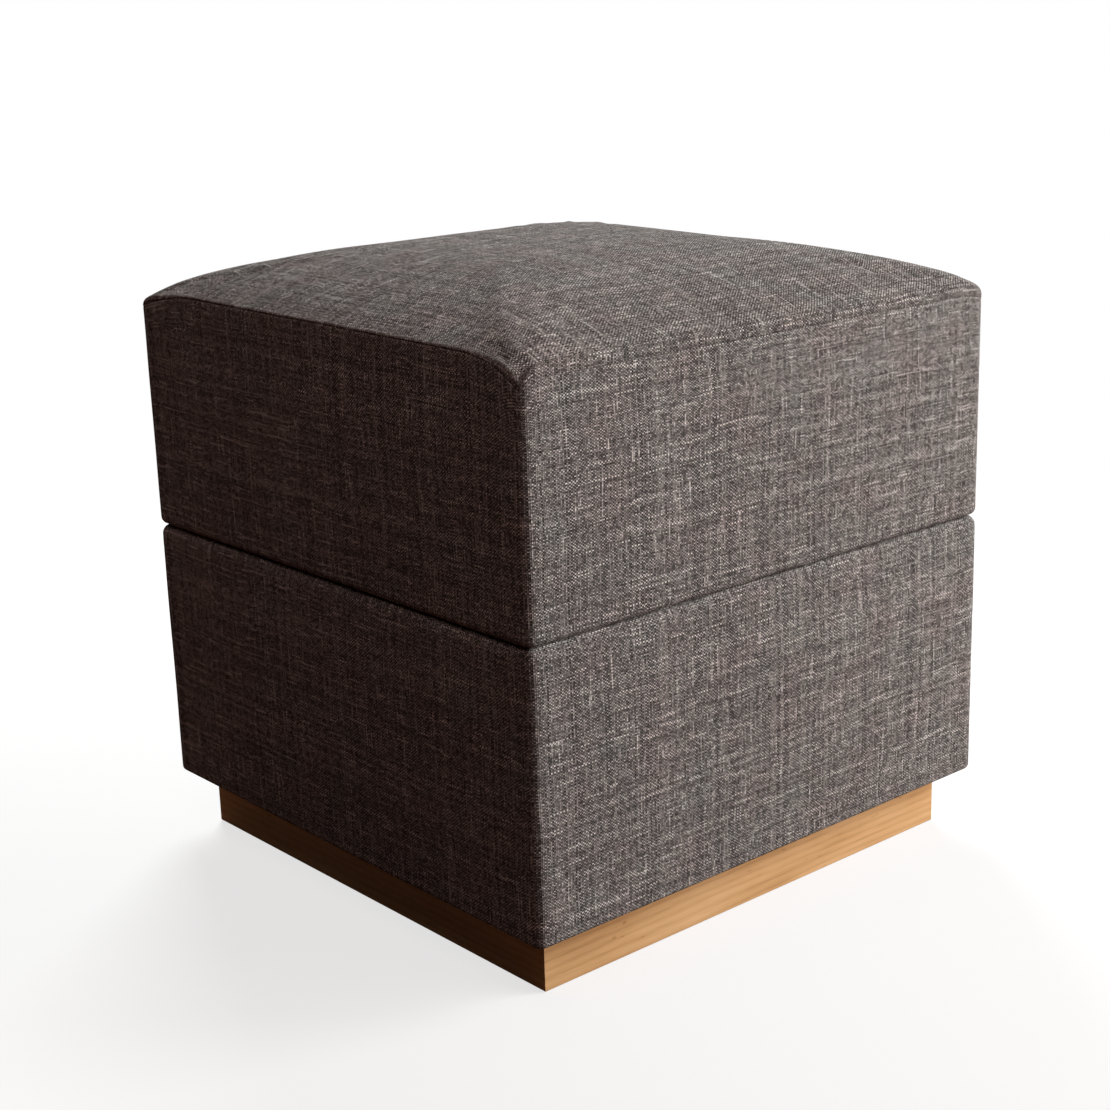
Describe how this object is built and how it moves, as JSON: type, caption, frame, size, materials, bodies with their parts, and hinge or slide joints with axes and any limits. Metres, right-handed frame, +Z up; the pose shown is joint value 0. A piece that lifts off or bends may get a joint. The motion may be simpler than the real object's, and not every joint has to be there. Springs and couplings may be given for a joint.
{
  "type": "storage ottoman",
  "caption": "Square upholstered storage ottoman on a low wooden plinth, with a deep hinged lid, crowned seat, butt hinges and elbow lid stays.",
  "frame": {"origin": "on the floor under the middle of the ottoman", "axes": "+Z up, -Y towards the front, +Y towards the hinges, +X to the right"},
  "size_m": [0.45, 0.45, 0.4634],
  "materials": {
    "upholstery": "slubby linen-look weave, matte",
    "lining": "non-woven cloth, matte",
    "foam": "open-cell foam",
    "plywood": "raw",
    "pine": "clear oiled",
    "steel": "zinc plated"
  },
  "bodies": {
    "box": {"box_back_pad": "foam", "box_back_wall": "plywood", "box_cover": "upholstery", "box_front_pad": "foam", "box_front_wall": "plywood", "box_left_pad": "foam", "box_left_wall": "plywood", "box_lining": "lining", "box_right_pad": "foam", "box_right_wall": "plywood", "dust_sheet": "lining", "floor_panel": "plywood", "hinge_box_screws": "steel", "hinge_left_box_leaf": "steel", "hinge_left_pin": "steel", "hinge_right_box_leaf": "steel", "hinge_right_pin": "steel", "plinth_back": "pine", "plinth_corner_blocks": "pine", "plinth_front": "pine", "plinth_left": "pine", "plinth_right": "pine", "plinth_screws": "steel", "stay_box_screws": "steel", "stay_left_box_bracket": "steel", "stay_left_box_rivet": "steel", "stay_right_box_bracket": "steel", "stay_right_box_rivet": "steel"},
    "lid": {"hinge_left_lid_leaf": "steel", "hinge_lid_screws": "steel", "hinge_right_lid_leaf": "steel", "lid_back_pad": "foam", "lid_back_rail": "plywood", "lid_deck": "plywood", "lid_front_pad": "foam", "lid_front_rail": "plywood", "lid_left_pad": "foam", "lid_left_rail": "plywood", "lid_lining": "lining", "lid_right_pad": "foam", "lid_right_rail": "plywood", "lid_side_band": "upholstery", "lid_top_panel": "upholstery", "seat_foam": "foam", "stay_left_lid_bracket": "steel", "stay_left_lid_rivet": "steel", "stay_lid_screws": "steel", "stay_right_lid_bracket": "steel", "stay_right_lid_rivet": "steel"},
    "left_lower_bar": {"stay_left_elbow_rivet": "steel", "stay_left_lower_bar": "steel"},
    "left_upper_bar": {"stay_left_upper_bar": "steel"},
    "right_lower_bar": {"stay_right_elbow_rivet": "steel", "stay_right_lower_bar": "steel"},
    "right_upper_bar": {"stay_right_upper_bar": "steel"}
  },
  "joints": [
    {"name": "lid_hinge", "type": "hinge", "parent": "box", "child": "lid", "pos_m": [0, 0.2218, 0.252], "axis": [-1, 0, 0], "range_deg": [0, 95]},
    {"name": "left_stay_box_pivot", "type": "hinge", "parent": "box", "child": "left_lower_bar", "pos_m": [-0.1972, 0.0818, 0.177], "axis": [-1, 0, 0], "range_deg": [0, 95]},
    {"name": "left_stay_elbow", "type": "hinge", "parent": "left_lower_bar", "child": "left_upper_bar", "pos_m": [-0.1949, -0.0282, 0.247], "axis": [-1, 0, 0], "range_deg": [-95, 0]},
    {"name": "right_stay_box_pivot", "type": "hinge", "parent": "box", "child": "right_lower_bar", "pos_m": [0.1972, 0.0818, 0.177], "axis": [-1, 0, 0], "range_deg": [0, 95]},
    {"name": "right_stay_elbow", "type": "hinge", "parent": "right_lower_bar", "child": "right_upper_bar", "pos_m": [0.1949, -0.0282, 0.247], "axis": [-1, 0, 0], "range_deg": [-95, 0]}
  ],
  "couplings": [
    {"joint": "left_stay_box_pivot", "follows": "lid_hinge", "ratio": 1},
    {"joint": "left_stay_elbow", "follows": "lid_hinge", "ratio": -1},
    {"joint": "right_stay_box_pivot", "follows": "lid_hinge", "ratio": 1},
    {"joint": "right_stay_elbow", "follows": "lid_hinge", "ratio": -1}
  ]
}
